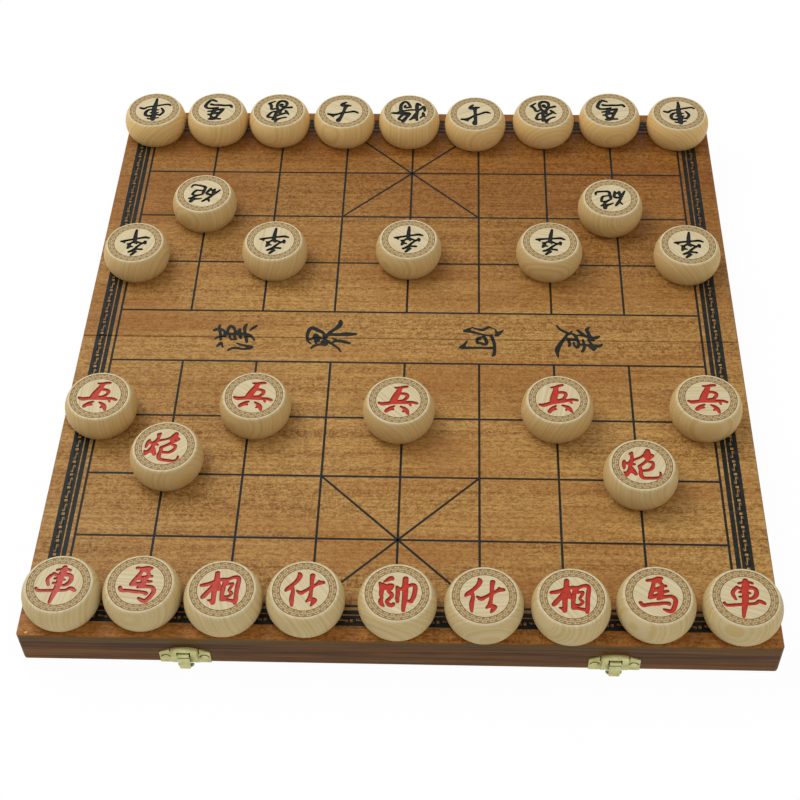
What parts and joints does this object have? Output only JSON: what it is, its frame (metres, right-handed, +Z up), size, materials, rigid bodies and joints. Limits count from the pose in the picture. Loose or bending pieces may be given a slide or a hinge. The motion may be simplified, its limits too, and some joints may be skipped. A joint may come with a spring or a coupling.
{
  "type": "xiangqi board box",
  "caption": "Folding wooden xiangqi box opened flat as a board: hinged trays, brass latches and keepers, and turned wooden playing pieces set out on the crossings.",
  "frame": {"origin": "middle of the fold line, at the level of the surface that the open box stands on", "axes": "+X to the right along the fold, +Y away from the red player's side, +Z up out of the playing surface"},
  "size_m": [0.4008, 0.4384, 0.0416],
  "materials": {
    "board_veneer": "satin lacquered orange-brown veneer",
    "dark_wood": "lacquered dark brown wood",
    "pale_wood": "smooth waxed pale wood",
    "brass": "satin brass plating",
    "steel": "dull steel"
  },
  "bodies": {
    "near_tray": {"near_panel": "board_veneer", "near_outer_wall": "dark_wood", "near_left_wall": "dark_wood", "near_right_wall": "dark_wood", "near_fold_wall": "dark_wood", "near_brads": "steel", "hinge_left_near_leaf": "brass", "hinge_right_near_leaf": "brass", "hinge_pins": "brass", "hinge_screws_near": "brass", "latch_left_base": "brass", "latch_right_base": "brass", "latch_pins": "brass", "latch_screws": "brass"},
    "far_tray": {"far_panel": "board_veneer", "far_outer_wall": "dark_wood", "far_left_wall": "dark_wood", "far_right_wall": "dark_wood", "far_fold_wall": "dark_wood", "far_brads": "steel", "hinge_left_far_leaf": "brass", "hinge_right_far_leaf": "brass", "hinge_screws_far": "brass", "keeper_left": "brass", "keeper_right": "brass", "keeper_screws": "brass"},
    "latch_left": {"latch_left_lever": "brass"},
    "latch_right": {"latch_right_lever": "brass"},
    "red_chariot_left": {"red_chariot_left": "pale_wood"},
    "red_horse_left": {"red_horse_left": "pale_wood"},
    "red_elephant_left": {"red_elephant_left": "pale_wood"},
    "red_advisor_left": {"red_advisor_left": "pale_wood"},
    "red_general": {"red_general": "pale_wood"},
    "red_advisor_right": {"red_advisor_right": "pale_wood"},
    "red_elephant_right": {"red_elephant_right": "pale_wood"},
    "red_horse_right": {"red_horse_right": "pale_wood"},
    "red_chariot_right": {"red_chariot_right": "pale_wood"},
    "red_cannon_left": {"red_cannon_left": "pale_wood"},
    "red_cannon_right": {"red_cannon_right": "pale_wood"},
    "red_soldier_1": {"red_soldier_1": "pale_wood"},
    "red_soldier_2": {"red_soldier_2": "pale_wood"},
    "red_soldier_3": {"red_soldier_3": "pale_wood"},
    "red_soldier_4": {"red_soldier_4": "pale_wood"},
    "red_soldier_5": {"red_soldier_5": "pale_wood"},
    "black_chariot_left": {"black_chariot_left": "pale_wood"},
    "black_horse_left": {"black_horse_left": "pale_wood"},
    "black_elephant_left": {"black_elephant_left": "pale_wood"},
    "black_advisor_left": {"black_advisor_left": "pale_wood"},
    "black_general": {"black_general": "pale_wood"},
    "black_advisor_right": {"black_advisor_right": "pale_wood"},
    "black_elephant_right": {"black_elephant_right": "pale_wood"},
    "black_horse_right": {"black_horse_right": "pale_wood"},
    "black_chariot_right": {"black_chariot_right": "pale_wood"},
    "black_cannon_left": {"black_cannon_left": "pale_wood"},
    "black_cannon_right": {"black_cannon_right": "pale_wood"},
    "black_soldier_1": {"black_soldier_1": "pale_wood"},
    "black_soldier_2": {"black_soldier_2": "pale_wood"},
    "black_soldier_3": {"black_soldier_3": "pale_wood"},
    "black_soldier_4": {"black_soldier_4": "pale_wood"},
    "black_soldier_5": {"black_soldier_5": "pale_wood"}
  },
  "joints": [
    {"name": "board_fold", "type": "hinge", "parent": "near_tray", "child": "far_tray", "pos_m": [0, 0, 0.0012], "axis": [-1, 0, 0], "range_deg": [0, 180]},
    {"name": "latch_left_pivot", "type": "hinge", "parent": "near_tray", "child": "latch_left", "pos_m": [-0.1125, -0.2165, 0.0126], "axis": [-1, 0, 0], "range_deg": [0, 20], "stiffness_Nm_per_rad": 0.03, "springref_deg": -34.38},
    {"name": "latch_right_pivot", "type": "hinge", "parent": "near_tray", "child": "latch_right", "pos_m": [0.1138, -0.2165, 0.0126], "axis": [-1, 0, 0], "range_deg": [0, 20], "stiffness_Nm_per_rad": 0.03, "springref_deg": -34.38},
    {"name": "red_chariot_left_lift", "type": "slide", "parent": "near_tray", "child": "red_chariot_left", "axis": [0, 0, 1], "range_m": [0, 0.03]},
    {"name": "red_horse_left_lift", "type": "slide", "parent": "near_tray", "child": "red_horse_left", "axis": [0, 0, 1], "range_m": [0, 0.03]},
    {"name": "red_elephant_left_lift", "type": "slide", "parent": "near_tray", "child": "red_elephant_left", "axis": [0, 0, 1], "range_m": [0, 0.03]},
    {"name": "red_advisor_left_lift", "type": "slide", "parent": "near_tray", "child": "red_advisor_left", "axis": [0, 0, 1], "range_m": [0, 0.03]},
    {"name": "red_general_lift", "type": "slide", "parent": "near_tray", "child": "red_general", "axis": [0, 0, 1], "range_m": [0, 0.03]},
    {"name": "red_advisor_right_lift", "type": "slide", "parent": "near_tray", "child": "red_advisor_right", "axis": [0, 0, 1], "range_m": [0, 0.03]},
    {"name": "red_elephant_right_lift", "type": "slide", "parent": "near_tray", "child": "red_elephant_right", "axis": [0, 0, 1], "range_m": [0, 0.03]},
    {"name": "red_horse_right_lift", "type": "slide", "parent": "near_tray", "child": "red_horse_right", "axis": [0, 0, 1], "range_m": [0, 0.03]},
    {"name": "red_chariot_right_lift", "type": "slide", "parent": "near_tray", "child": "red_chariot_right", "axis": [0, 0, 1], "range_m": [0, 0.03]},
    {"name": "red_cannon_left_lift", "type": "slide", "parent": "near_tray", "child": "red_cannon_left", "axis": [0, 0, 1], "range_m": [0, 0.03]},
    {"name": "red_cannon_right_lift", "type": "slide", "parent": "near_tray", "child": "red_cannon_right", "axis": [0, 0, 1], "range_m": [0, 0.03]},
    {"name": "red_soldier_1_lift", "type": "slide", "parent": "near_tray", "child": "red_soldier_1", "axis": [0, 0, 1], "range_m": [0, 0.03]},
    {"name": "red_soldier_2_lift", "type": "slide", "parent": "near_tray", "child": "red_soldier_2", "axis": [0, 0, 1], "range_m": [0, 0.03]},
    {"name": "red_soldier_3_lift", "type": "slide", "parent": "near_tray", "child": "red_soldier_3", "axis": [0, 0, 1], "range_m": [0, 0.03]},
    {"name": "red_soldier_4_lift", "type": "slide", "parent": "near_tray", "child": "red_soldier_4", "axis": [0, 0, 1], "range_m": [0, 0.03]},
    {"name": "red_soldier_5_lift", "type": "slide", "parent": "near_tray", "child": "red_soldier_5", "axis": [0, 0, 1], "range_m": [0, 0.03]},
    {"name": "black_chariot_left_lift", "type": "slide", "parent": "far_tray", "child": "black_chariot_left", "axis": [0, 0, 1], "range_m": [0, 0.03]},
    {"name": "black_horse_left_lift", "type": "slide", "parent": "far_tray", "child": "black_horse_left", "axis": [0, 0, 1], "range_m": [0, 0.03]},
    {"name": "black_elephant_left_lift", "type": "slide", "parent": "far_tray", "child": "black_elephant_left", "axis": [0, 0, 1], "range_m": [0, 0.03]},
    {"name": "black_advisor_left_lift", "type": "slide", "parent": "far_tray", "child": "black_advisor_left", "axis": [0, 0, 1], "range_m": [0, 0.03]},
    {"name": "black_general_lift", "type": "slide", "parent": "far_tray", "child": "black_general", "axis": [0, 0, 1], "range_m": [0, 0.03]},
    {"name": "black_advisor_right_lift", "type": "slide", "parent": "far_tray", "child": "black_advisor_right", "axis": [0, 0, 1], "range_m": [0, 0.03]},
    {"name": "black_elephant_right_lift", "type": "slide", "parent": "far_tray", "child": "black_elephant_right", "axis": [0, 0, 1], "range_m": [0, 0.03]},
    {"name": "black_horse_right_lift", "type": "slide", "parent": "far_tray", "child": "black_horse_right", "axis": [0, 0, 1], "range_m": [0, 0.03]},
    {"name": "black_chariot_right_lift", "type": "slide", "parent": "far_tray", "child": "black_chariot_right", "axis": [0, 0, 1], "range_m": [0, 0.03]},
    {"name": "black_cannon_left_lift", "type": "slide", "parent": "far_tray", "child": "black_cannon_left", "axis": [0, 0, 1], "range_m": [0, 0.03]},
    {"name": "black_cannon_right_lift", "type": "slide", "parent": "far_tray", "child": "black_cannon_right", "axis": [0, 0, 1], "range_m": [0, 0.03]},
    {"name": "black_soldier_1_lift", "type": "slide", "parent": "far_tray", "child": "black_soldier_1", "axis": [0, 0, 1], "range_m": [0, 0.03]},
    {"name": "black_soldier_2_lift", "type": "slide", "parent": "far_tray", "child": "black_soldier_2", "axis": [0, 0, 1], "range_m": [0, 0.03]},
    {"name": "black_soldier_3_lift", "type": "slide", "parent": "far_tray", "child": "black_soldier_3", "axis": [0, 0, 1], "range_m": [0, 0.03]},
    {"name": "black_soldier_4_lift", "type": "slide", "parent": "far_tray", "child": "black_soldier_4", "axis": [0, 0, 1], "range_m": [0, 0.03]},
    {"name": "black_soldier_5_lift", "type": "slide", "parent": "far_tray", "child": "black_soldier_5", "axis": [0, 0, 1], "range_m": [0, 0.03]}
  ]
}
